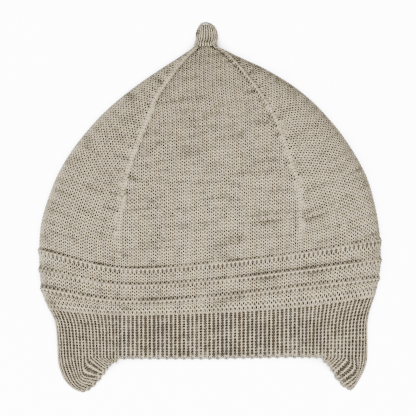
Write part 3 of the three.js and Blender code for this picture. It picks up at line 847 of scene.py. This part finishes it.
class KnittedPiece:
    """A piece of cloth made of copies of the loop, laid on a surface."""

    YARN_MAP = "Knit"  # follows the yarn
    BAKE_MAP = "OFBake"  # gives each stitch a tile of its own
    PAINTED_SHADE_NAME = "painted_shade"  # the attribute of painted shade: how deep in its loop the yarn lies, which darkens its colour
    TILE_START = 0.05  # where a loop starts in its tile, as a share
    TILE_SHARE = 0.85  # and how much of the tile it takes up
    ROW_STEP = 7.0  # of a row on the yarn's map, where a wale is 1: it draws the streaks out
    GROUP_STEP = 31.0  # between groups on the yarn's map, so that no two look alike
    INNER_FACE = -0.5  # the part of the yarn that looks into the pouch, as a sine; it gets no painted shade

    def __init__(self, name: str, node: str, slot: str) -> None:
        """Keeps what the piece is.

        Args:
            name: the piece's name.
            node: the frame's node that it stands for.
            slot: the name of its material slot, which is kept but not used.
        """
        self.name, self.node, self.slot = name, node, slot

    def knit(
        self, yarn: Yarn, stitches: Stitches, lay: Lay, finish: bpy.types.Material
    ) -> None:
        """Copies the loop to every stitch and dresses the piece.

        Args:
            yarn: the loop.
            stitches: where the stitches are.
            lay: turns groups, wales, rows and distances out into points and depths for the painted
                shade.
            finish: the yarn's material.
        """
        spots, faces, corners = yarn.tube()
        facing, group = np.array(stitches.facing), np.array(stitches.group)
        wale, row = np.array(stitches.wale), np.array(stitches.row)
        loops = yarn.bent(spots, facing, np.array(stitches.width))
        across = wale[:, None] + loops[:, :, 0]
        up = row[:, None] + loops[:, :, 1]
        off = loops[:, :, 2] - yarn.cover
        points, off = lay(np.repeat(group[:, None], len(spots), 1), across, up, off)
        points = points.reshape(-1, 3)
        points[:, 1] += LOWEST[1]
        points[:, 2] = np.where(points[:, 2] < 0, FLOOR_SQUASH * points[:, 2], points[:, 2])

        count = len(wale)
        all_faces = (faces[None] + len(spots) * np.arange(count)[:, None, None]).reshape(-1, 4)
        purl = np.repeat(facing < 0, len(faces))
        all_faces[purl] = all_faces[purl][:, ::-1]
        is_side = np.ptp(spots[faces][:, :, 0], axis=1) > yarn.SEAM
        mesh = self.mesh_of(points, all_faces, np.tile(is_side, count))

        along = np.stack(np.broadcast_arrays(
            across + self.GROUP_STEP * group[:, None], self.ROW_STEP * row[:, None]
        ), axis=2)
        for map_name, spread in (
            (self.BAKE_MAP, self.tiled(corners, purl.reshape(count, -1))),
            (self.YARN_MAP, along.reshape(-1, 2)[all_faces.ravel()]),
        ):
            mesh.uv_layers.new(name=map_name).data.foreach_set("uv", spread.ravel())
        # Painted shade: the deeper the yarn lies in its loop, the darker its colour, except where
        # it looks into the pouch.
        outwards = np.sin(2 * math.pi * spots[:, 1]) * facing[:, None]
        depth = np.where(
            outwards < self.INNER_FACE, 0, yarn.painted_shade_share * np.clip(-off / yarn.cover, 0, 1)
        )
        self.dress(bpy.data.objects.new(self.name, mesh), depth.ravel(), finish)
        log.info("%s: %d stitches, %d triangles", self.name, count, 2 * len(all_faces))

    def mesh_of(self, points: np.ndarray, faces: np.ndarray, smooth: np.ndarray) -> bpy.types.Mesh:
        """Makes the mesh.

        Args:
            points: its points.
            faces: its faces, of four corners each.
            smooth: true for each face that is shaded smooth.

        Returns:
            The mesh.
        """
        mesh = bpy.data.meshes.new(self.name)
        mesh.vertices.add(len(points))
        mesh.vertices.foreach_set("co", points.ravel())
        mesh.loops.add(faces.size)
        mesh.loops.foreach_set("vertex_index", faces.ravel())
        mesh.polygons.add(len(faces))
        mesh.polygons.foreach_set("loop_start", np.arange(0, faces.size, 4))
        mesh.update(calc_edges=True)
        mesh.validate()
        mesh.polygons.foreach_set("use_smooth", smooth)
        return mesh

    def tiled(self, corners: np.ndarray, is_purl: np.ndarray) -> np.ndarray:
        """Gives each stitch its own tile of the baking map.

        Args:
            corners: the map of one loop, by face and corner.
            is_purl: by stitch and face, true where the corners run the other way.

        Returns:
            The map by stitch, face and corner.
        """
        count = len(is_purl)
        side = math.ceil(math.sqrt(count))
        index = np.arange(count)
        tile = np.stack([index % side, index // side], axis=1)[:, None]
        bake = (tile[:, None] + self.TILE_START + self.TILE_SHARE * corners[None]) / side
        bake[is_purl] = bake[is_purl][:, ::-1]
        return bake

    def dress(
        self, piece: bpy.types.Object, depth: np.ndarray, finish: bpy.types.Material
    ) -> None:
        """Puts the piece in the scene with its finish and painted shade, in its node's place.

        Args:
            piece: the piece.
            depth: how deep in its loop the yarn lies at each of the mesh's points, which sets its
                painted shade.
            finish: the yarn's material.
        """
        painted_shade = piece.data.attributes.new(self.PAINTED_SHADE_NAME, "FLOAT", "POINT")
        painted_shade.data.foreach_set("value", depth)
        piece.data.materials.append(finish)
        if not piece.users_collection:
            bpy.context.scene.collection.objects.link(piece)
        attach(piece, "root")
        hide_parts(self.node)


@dataclass
class Crown:
    """Four gores of stocking stitch that narrow to the neck, with a wale on each line."""

    pouch: Pouch
    yarn: Yarn
    line_width: float = 1.0  # wales that a narrowing line takes up, half on each side
    rise: float = 0.5 * MM  # of the narrowing lines over the cloth
    spread: float = 0.5  # in wales, how far a narrowing line's rise spreads
    groove: float = 0.38 * MM  # of the cloth beside a narrowing line, at the neck
    groove_shares: tuple[float, ...] = (1.0, 0.3, 1.0, 0.3)  # front, right, back and left
    groove_place: float = 0.95  # in wales from the line
    groove_spread: float = 0.4  # in wales
    groove_least: float = 0.3  # share of the groove at the foot of the crown
    leeway: float = 0.2  # how far a whole wale may reach into the space of the last one
    least_half: float = 0.5  # half the wales of a gore at the neck, at least

    def build(self, finish: bpy.types.Material) -> None:
        """Knits the four gores, each with the narrowing line at its end.

        Args:
            finish: the yarn's material.
        """
        for quarter in Quarter:
            q = quarter.value
            course = self.pouch.course_of_row(q, self.yarn.row)
            rows = len(course) - 1
            stitches = Stitches()
            for r in range(rows + 1):
                half = float(self.pouch.half_at(q, course[r]))
                reach = max(int(math.floor(half - self.line_width / 2 + self.leeway)), 1)
                for k in range(1 - reach, reach):
                    stitches.add(k, r, Stitch.KNIT, q)
                width = half - self.line_width / 2 - (reach - 0.5)
                for side in (-1, 1):
                    middle = side * (reach - 0.5 + width / 2)
                    stitches.add(middle, r, Stitch.KNIT, q, width)
                stitches.add(half, r, Stitch.KNIT, q, self.line_width)
            piece = KnittedPiece(f"crown_{quarter.name.lower()}", "crown", "plain_knit")
            piece.knit(self.yarn, stitches, self.laid_by(course), finish)

    def laid_by(self, course: np.ndarray) -> Lay:
        """How this quarter's stitches are laid.

        Args:
            course: the course at each row's start.

        Returns:
            A function of groups, wales, rows and distances out that gives points.
        """

        def lay(
            q: np.ndarray, wale: np.ndarray, row: np.ndarray, off: np.ndarray
        ) -> tuple[np.ndarray, np.ndarray]:
            """Lays the crown's stitches on the pouch, with the narrowing lines raised.

            Args:
                q: the quarter that each is in.
                wale: wales from the gore's middle.
                row: rows of the crown.
                off: distances out.

            Returns:
                The points, and the distances out with the lines' relief, which set the painted
                shade.
            """
            at = np.interp(row, np.arange(-1, len(course)), [2 * course[0] - course[1], *course])
            half = np.maximum(self.pouch.half_at(q.flat[0], at), self.least_half)
            column = self.pouch.column(q, wale / half)
            inside = half - np.abs(wale)
            up = (at - CROWN_START) / (NECK_COURSE - CROWN_START)
            groove = self.groove * self.groove_shares[q.flat[0]] * np.clip(up, self.groove_least, 1)
            off = off + self.rise * np.exp(-((inside / self.spread) ** 2))
            off -= groove * np.exp(-(((inside - self.groove_place) / self.groove_spread) ** 2))
            return self.pouch.surface.lay(column, at, off), off

        return lay


@dataclass
class Band:
    """Stocking stitch with three rows of purl bumps that stand out as ridges."""

    pouch: Pouch
    yarn: Yarn
    bead: Yarn
    rows: int = 18
    rise: float = 1.0 * MM  # of the purl rows over the plain cloth
    reach: float = 0.75  # in rows, how far a ridge spreads
    dip: float = 0.3 * MM  # of the cloth above a ridge
    dip_place: float = 0.95  # in rows over the ridge
    dip_reach: float = 0.35  # in rows

    def build(self, finish: bpy.types.Material) -> None:
        """Knits the band in a front and a back piece.

        Args:
            finish: the yarn's material.
        """
        for name, quarters in HALVES.items():
            plain, beads = Stitches(), Stitches()
            for quarter in quarters:
                for k in QUARTER_WALES:
                    for r in range(self.rows):
                        if r in PURL_ROWS:
                            beads.add(k, r, Stitch.PURL, quarter.value)
                        else:
                            plain.add(k, r, Stitch.KNIT, quarter.value)
            for part, yarn, stitches in (("band", self.yarn, plain), ("beads", self.bead, beads)):
                piece = KnittedPiece(f"ridge_{part}_{name}", "ridge_band", "ridge_knit")
                piece.knit(yarn, stitches, self.lay, finish)

    def lay(
        self, q: np.ndarray, wale: np.ndarray, row: np.ndarray, off: np.ndarray
    ) -> tuple[np.ndarray, np.ndarray]:
        """Lays the band's stitches on the pouch, with the purl rows raised.

        Args:
            q: the quarter that each is in.
            wale: wales from the quarter's middle.
            row: rows of the band.
            off: distances out.

        Returns:
            The points, and the distances out for the painted shade, with the dips above the ridges
            and without the ridges' lift.
        """
        at = np.interp(row, list(BAND_ROWS.values()), list(BAND_ROWS))
        lift = sum(np.exp(-((row - ridge) / self.reach) ** 2) for ridge in PURL_ROWS)
        column = self.pouch.column(q, wale / (WALES / 2))
        dips = sum(
            np.exp(-((row - ridge - self.dip_place) / self.dip_reach) ** 2) for ridge in PURL_ROWS
        )
        off = off - self.dip * dips
        return self.pouch.surface.lay(column, at, off + self.rise * lift), off


RIB_WIDTHS = {Stitch.KNIT: 1.9, Stitch.PURL: 0.9}  # in wales, of the ribbing's loops
RIB_PAIR = 2  # in wales, of the cast-on edge's loops
EDGE_ROW = -0.2  # where the cast-on edge lies, in rows
FLAP_WALES = {Quarter.RIGHT: 14, Quarter.LEFT: 20}  # on each side of the fold


def rib_facing(wale: int) -> Stitch:
    """Knit on even wales and purl on odd ones."""
    return Stitch.PURL if wale % 2 else Stitch.KNIT


@dataclass
class Brim:
    """One by one ribbing: broad knit wales with narrow purl wales between them."""

    pouch: Pouch
    yarn: Yarn
    edge: Yarn
    rows: int = 18

    def build(self, finish: bpy.types.Material) -> None:
        """Knits the brim in a front and a back piece.

        Args:
            finish: the yarn's material.
        """
        for name, quarters in HALVES.items():
            ribs, edge = Stitches(), Stitches()
            for quarter in quarters:
                for k in QUARTER_WALES:
                    facing = rib_facing(k)
                    for r in range(self.rows):
                        ribs.add(k, r + 0.5, facing, quarter.value, RIB_WIDTHS[facing])
                    if facing is Stitch.PURL and abs(k) > FLAP_WALES.get(quarter, 0):
                        edge.add(k, EDGE_ROW, facing, quarter.value, RIB_PAIR)
            for part, yarn, stitches in (("brim", self.yarn, ribs), ("edge", self.edge, edge)):
                piece = KnittedPiece(f"rib_{part}_{name}", "rib_brim", "rib_knit")
                piece.knit(yarn, stitches, self.lay, finish)

    def lay(
        self, q: np.ndarray, wale: np.ndarray, row: np.ndarray, off: np.ndarray
    ) -> tuple[np.ndarray, np.ndarray]:
        """Lays the ribbing on the pouch.

        Args:
            q: the quarter that each is in.
            wale: wales from the quarter's middle.
            row: rows of the brim.
            off: distances out.

        Returns:
            The points and the distances out.
        """
        column = self.pouch.column(q, wale / (WALES / 2))
        return self.pouch.surface.lay(column, RIB_TOP * row / self.rows, off), off


@dataclass
class EarFlap:
    """Ribbing carried on below the brow, its ribs turned along a mitre to the free edge."""

    pouch: Pouch
    yarn: Yarn
    edge: Yarn
    quarter: Quarter  # left or right
    tip_up: float  # height of the flap's tip, as a share of the flaps' drop
    corner: float = 0.3  # of a wale's stretches, how much its turn rounds off
    steps: int = 33  # grid rows from the free edge to the root
    fine: int = 4  # grid columns to a wale, and points measured for each grid row
    slack_power: int = 3  # the higher, the less the inner wales follow the outline

    STRETCHES = 3  # of a wale: straight down, round its turn, and straight to the edge

    @property
    def wales(self) -> int:
        """Wales on each side of the fold."""
        return FLAP_WALES[self.quarter]

    @property
    def side(self) -> str:
        """The flap's side, as names and tables have it."""
        return self.quarter.name.lower()

    def build(self, finish: bpy.types.Material) -> None:
        """Knits the flap.

        Args:
            finish: the yarn's material.
        """
        self.surface, lengths = self.leaf()
        ribs, edge = Stitches(), Stitches()
        for k in range(-self.wales, self.wales + 1):
            length = lengths[(k + self.wales) * self.fine]
            count = max(round(length / self.yarn.row), 1)
            facing = rib_facing(k)
            for r in range(count):
                ribs.add(k, r + 0.5, facing, count, RIB_WIDTHS[facing])
            if facing is Stitch.PURL:
                edge.add(k, EDGE_ROW, facing, count, RIB_PAIR)
        node = f"ear_flap_{self.side}"
        for part, yarn, stitches in (("ribs", self.yarn, ribs), ("edge", self.edge, edge)):
            piece = KnittedPiece(f"{node}_{part}", node, "flap_knit")
            piece.knit(yarn, stitches, self.lay, finish)

    def lay(
        self, count: np.ndarray, wale: np.ndarray, row: np.ndarray, off: np.ndarray
    ) -> tuple[np.ndarray, np.ndarray]:
        """Lays the flap's stitches; the rows of a wale share its length evenly.

        Args:
            count: the rows of the wale that each is in.
            wale: wales from the fold.
            row: rows from the free edge.
            off: distances out.

        Returns:
            The points and the distances out.
        """
        column = (wale + self.wales) * self.fine
        return self.surface.lay(column, row / count, off), off

    def leaf(self) -> tuple[Surface, np.ndarray]:
        """The flap's surface.

        Returns:
            The surface, its rows from the free edge up to the root, and the length of
            each of its columns.
        """
        is_left = self.quarter is Quarter.LEFT
        inwards = 1 if is_left else -1
        fold = self.quarter.value + 0.5
        count = 2 * self.wales * self.fine + 1
        k = np.linspace(-self.wales, self.wales, count)
        columns = (fold + k / WALES) * self.pouch.per_quarter
        root = self.pouch.surface.lay(columns, np.zeros(count), np.zeros(count))
        fold_x = root[count // 2, 0]
        breadth = abs(root[-1, 0] - fold_x)
        share = np.minimum(np.abs(root[:, 0] - fold_x) / breadth, 1)
        step = WALE_ENDS.straight_at("step", share)
        end_up = self.tip_up + (1 - self.tip_up) * FLAP_EDGE.at("up", step)
        turns = FLAP_TURNS[self.quarter]
        turn = np.stack([
            fold_x + inwards * breadth * turns.straight_at("across", share),
            np.minimum(FLAP_DROP * turns.straight_at("up", share), root[:, 1]),
        ], axis=1)
        end = np.stack([
            fold_x + inwards * breadth * FLAP_EDGE.at("across", step), FLAP_DROP * end_up
        ], axis=1)
        curve = self.turned(root[:, :2], turn, end)
        rim = curve[:, count // 2]
        slack = HALF_WIDTH * OUTLINE.at(self.side, rim[:, 1]) - rim[:, 0]
        curve[:, :, 0] += slack[:, None] * (1 - share) ** self.slack_power
        front = (k >= 0) if is_left else (k <= 0)
        z = layer_height(curve[:, :, 0], curve[:, :, 1], np.repeat(front[None], self.steps, 0))
        points = np.concatenate([curve, z[:, :, None]], axis=2)
        lengths = np.linalg.norm(np.diff(points, axis=0), axis=2).sum(0)
        return Surface(points, 1 / (self.steps - 1), False), lengths

    def turned(self, start: np.ndarray, turn: np.ndarray, end: np.ndarray) -> np.ndarray:
        """Lines that run straight, round a corner and straight on.

        Args:
            start: where the lines start, one row for each.
            turn: their corners.
            end: where they end.

        Returns:
            Even points along each line, from its end up to its start.
        """
        along = self.STRETCHES * np.linspace(1, 0, self.fine * self.steps)[:, None, None]
        leave = turn + self.corner * (start - turn)
        join = turn + self.corner * (end - turn)
        first = start + np.minimum(along, 1) * (leave - start)
        t = np.clip(along - 1, 0, 1)
        arc = (1 - t) ** 2 * leave + 2 * t * (1 - t) * turn + t**2 * join
        last = join + np.clip(along - 2, 0, 1) * (end - join)
        fine = first - leave + arc - join + last
        lines = []
        for line in np.moveaxis(fine, 1, 0):
            run = np.concatenate([[0], np.cumsum(np.linalg.norm(np.diff(line, axis=0), axis=1))])
            even = np.linspace(0, run[-1], self.steps)
            lines.append(np.stack([np.interp(even, run, line[:, i]) for i in (0, 1)], axis=1))
        return np.stack(lines, axis=1)


@dataclass
class Stem:
    """A short knitted cord on the neck, drawn shut at its end."""

    yarn: Yarn
    width: float = 12.2 * MM
    thickness: float = 8.4 * MM
    wales: int = 13
    rows: int = 8
    gap: float = 0.3 * MM
    most_thick: float = 0.46  # half its thickness at most, as a share of the thickness
    columns: int = 48
    levels: int = 33
    core_depth: float = 1.0 * MM  # from the outer face in to the cord's core
    core_place: float = 0.47  # height of the core's middle, as a share of the length
    core_segments: int = 24
    core_rings: int = 12

    def build(self, finish: bpy.types.Material) -> None:
        """Knits the stem round its core.

        Args:
            finish: the yarn's material.
        """
        centre = HALF_WIDTH * (OUTLINE.at("left", NECK) + OUTLINE.at("right", NECK)) / 2
        self.surface = self.cord(centre)
        stitches = Stitches()
        for r in range(self.rows):
            for k in range(self.wales):
                stitches.add(k, r + 0.5, Stitch.KNIT)
        piece = KnittedPiece("top_stem_cord", "top_stem", "stem_knit")
        piece.knit(self.yarn, stitches, self.lay, finish)
        self.fill(centre, finish)

    def cord(self, centre: float) -> Surface:
        """The stem's outer face.

        Args:
            centre: the neck's middle across.

        Returns:
            The surface, its rows from the neck up.
        """
        up = np.linspace(0, 1, self.levels)
        turn = 2 * math.pi * np.arange(self.columns) / self.columns
        half = STEM_SECTION.at("half", up)[:, None]
        middle = STEM_SECTION.at("middle", up)[:, None]
        x = centre + self.width * (middle - half * np.cos(turn))
        y = NECK + self.gap + (STEM_LENGTH - self.gap) * up[:, None] + 0 * turn
        z = self.thickness * (0.5 + np.minimum(half, self.most_thick) * np.sin(turn))
        return Surface(np.stack([x, y, z], axis=2), up[1], True)

    def fill(self, centre: float, finish: bpy.types.Material) -> None:
        """Puts the core in, which the stem's hollows show; its colour is painted full shade.

        Args:
            centre: the neck's middle across.
            finish: the yarn's material.
        """
        sizes = (self.width, STEM_LENGTH, self.thickness)
        height = LOWEST[1] + NECK + STEM_LENGTH * self.core_place
        bpy.ops.object.select_all(action="DESELECT")
        bpy.ops.mesh.primitive_uv_sphere_add(
            segments=self.core_segments, ring_count=self.core_rings, radius=1,
            location=(centre, height, self.thickness / 2),
            scale=[size / 2 - self.core_depth for size in sizes],
        )
        bpy.ops.object.transform_apply(location=True, scale=True)
        bpy.ops.object.shade_smooth()
        core = bpy.context.object
        core.name = "top_stem_shaded_core"
        # painted shade: the whole core takes the full dark colour
        depth = np.ones(len(core.data.vertices))
        KnittedPiece(core.name, "top_stem", "stem_knit").dress(core, depth, finish)
        log.info("%s: %d faces", core.name, len(core.data.polygons))

    def lay(
        self, group: np.ndarray, wale: np.ndarray, row: np.ndarray, off: np.ndarray
    ) -> tuple[np.ndarray, np.ndarray]:
        """Lays the stem's stitches round it.

        Args:
            group: not used, as the stem is all one group.
            wale: wales round the stem.
            row: rows of the stem.
            off: distances out.

        Returns:
            The points and the distances out.
        """
        return self.surface.lay(wale / self.wales * self.columns, row / self.rows, off), off


@dataclass(frozen=True)
class Lamp:
    """A square soft lamp that looks at the bonnet."""

    name: str
    place: tuple[float, float, float]
    power: float  # in watts
    size: float

    def hang(self) -> None:
        """Adds the lamp."""
        bpy.ops.object.light_add(type="AREA", location=self.place)
        lamp = bpy.context.object
        lamp.name = self.name
        lamp.data.energy = self.power
        lamp.data.size = self.size
        lamp.rotation_euler = (-lamp.location).to_track_quat("-Z", "Y").to_euler()


@dataclass
class Studio:
    """A pale floor with painted shadow under the bonnet, soft light from all round, and a camera
    straight above.
    """

    floor_size: float = 4.0
    floor_drop: float = 0.2 * MM  # of the floor under the lowest stitches
    floor_tone: tuple[float, float, float, float] = (0.9, 0.9, 0.9, 1)
    floor_roughness: float = 0.9
    floor_glow: float = 12.0
    shade_reach: float = 60 * MM  # how far off the floor things cast painted shadow on it
    covered: tuple[float, float] = (0.4, 0.62)  # open sky where the glow starts, and is full; with less open sky the floor is painted dark as shadow
    sky: tuple[float, float] = (0.05, 0.3)  # light from below and from above
    horizon: float = 0.1  # half the height over which the one turns into the other
    lamps: tuple[Lamp, ...] = (
        Lamp("window", (-0.7, -0.7, 1.5), 52.0, 0.9),
        Lamp("fill", (1.5, 0.0, 0.6), 15.0, 0.8),
    )
    camera_height: float = 1.6
    image_width: float = 208 * MM  # what the picture is wide, on the floor
    centre: tuple[float, float] = (-1.0 * MM, -0.6 * MM)
    sensor: float = 36.0
    view_depth: float = 20.0

    def build(self) -> None:
        """Lays the floor, lights the room and sets the camera."""
        self.lay_floor()
        self.light()
        for lamp in self.lamps:
            lamp.hang()
        self.set_camera()

    def lay_floor(self) -> None:
        """Lays a white floor that glows where the sky is open over it, and is painted dark as
        shadow where things cover it.
        """
        bpy.ops.object.select_all(action="DESELECT")
        bpy.ops.mesh.primitive_plane_add(size=self.floor_size, location=(0, 0, -self.floor_drop))
        floor = bpy.context.object
        floor.name = "floor"
        paper = bpy.data.materials.new("white_paper")
        nodes = Nodes(paper)
        shade = nodes.add("ShaderNodeAmbientOcclusion", {}, {"Distance": self.shade_reach})
        open_sky = nodes.add(
            "ShaderNodeMapRange", {},
            {"Value": shade.outputs["AO"], "From Min": self.covered[0],
             "From Max": self.covered[1]},
        )
        shader = nodes.add(
            "ShaderNodeBsdfPrincipled", {},
            {"Base Color": self.floor_tone, "Roughness": self.floor_roughness,
             "Emission Color": open_sky.outputs["Result"],
             "Emission Strength": self.floor_glow},
        )
        nodes.add("ShaderNodeOutputMaterial", {}, {"Surface": shader.outputs[0]})
        floor.data.materials.append(paper)
        floor.visible_diffuse = False

    def light(self) -> None:
        """Lights the room softly, more from above than from below."""
        world = bpy.data.worlds.new("soft_room")
        bpy.context.scene.world = world
        nodes = Nodes(world)
        place = nodes.add("ShaderNodeTexCoord", {}, {})
        parts = nodes.add("ShaderNodeSeparateXYZ", {}, {"Vector": place.outputs["Generated"]})
        level = nodes.add(
            "ShaderNodeMapRange", {},
            {"Value": parts.outputs["Z"], "From Min": -self.horizon, "From Max": self.horizon,
             "To Min": self.sky[0], "To Max": self.sky[1]},
        )
        back = nodes.add(
            "ShaderNodeBackground", {},
            {"Color": (1, 1, 1, 1), "Strength": level.outputs["Result"]},
        )
        nodes.add("ShaderNodeOutputWorld", {}, {"Surface": back.outputs[0]})

    def set_camera(self) -> None:
        """Sets the camera straight above, and keeps the stitches sharp."""
        bpy.ops.object.camera_add(location=(*self.centre, self.camera_height))
        camera = bpy.context.object
        camera.name = "camera"
        camera.data.sensor_width = self.sensor
        camera.data.lens = self.sensor * self.camera_height / self.image_width
        camera.data.clip_end = self.view_depth
        bpy.context.scene.camera = camera
        bpy.context.scene.cycles.use_denoising = False  # it would smooth the stitches away


def main() -> None:
    """Builds the bonnet's sections in order, then the studio."""
    logging.basicConfig(level=logging.INFO, format="%(name)s: %(message)s")
    plain = Yarn()
    bead = Yarn(
        radius=0.42 * MM, swell=1.5, lean=0.2, reach=0.08, depth=0.5 * MM, nod=-0.35 * MM,
        painted_shade_share=0.4,
    )
    rib = Yarn(
        radius=0.3 * MM, swell=0.85, lean=0.1, reach=0.68, depth=0.45 * MM, row=1.28 * MM,
        painted_shade_share=0.98, bends=6,
    )
    edge = Yarn(
        radius=0.4 * MM, swell=0.0, lean=0.0, reach=0.45, depth=0.3 * MM, row=1.28 * MM,
        painted_shade_share=0.3,
    )
    pouch = Pouch()
    finish = MelangeYarn().material()
    Crown(pouch, plain).build(finish)
    Band(pouch, plain, bead).build(finish)
    Brim(pouch, rib, edge).build(finish)
    EarFlap(pouch, rib, edge, Quarter.LEFT, tip_up=0.0).build(finish)
    EarFlap(pouch, rib, edge, Quarter.RIGHT, tip_up=0.06).build(finish)
    Stem(Yarn(lean=0.15)).build(finish)
    Studio().build()


if __name__ == "__main__":
    main()
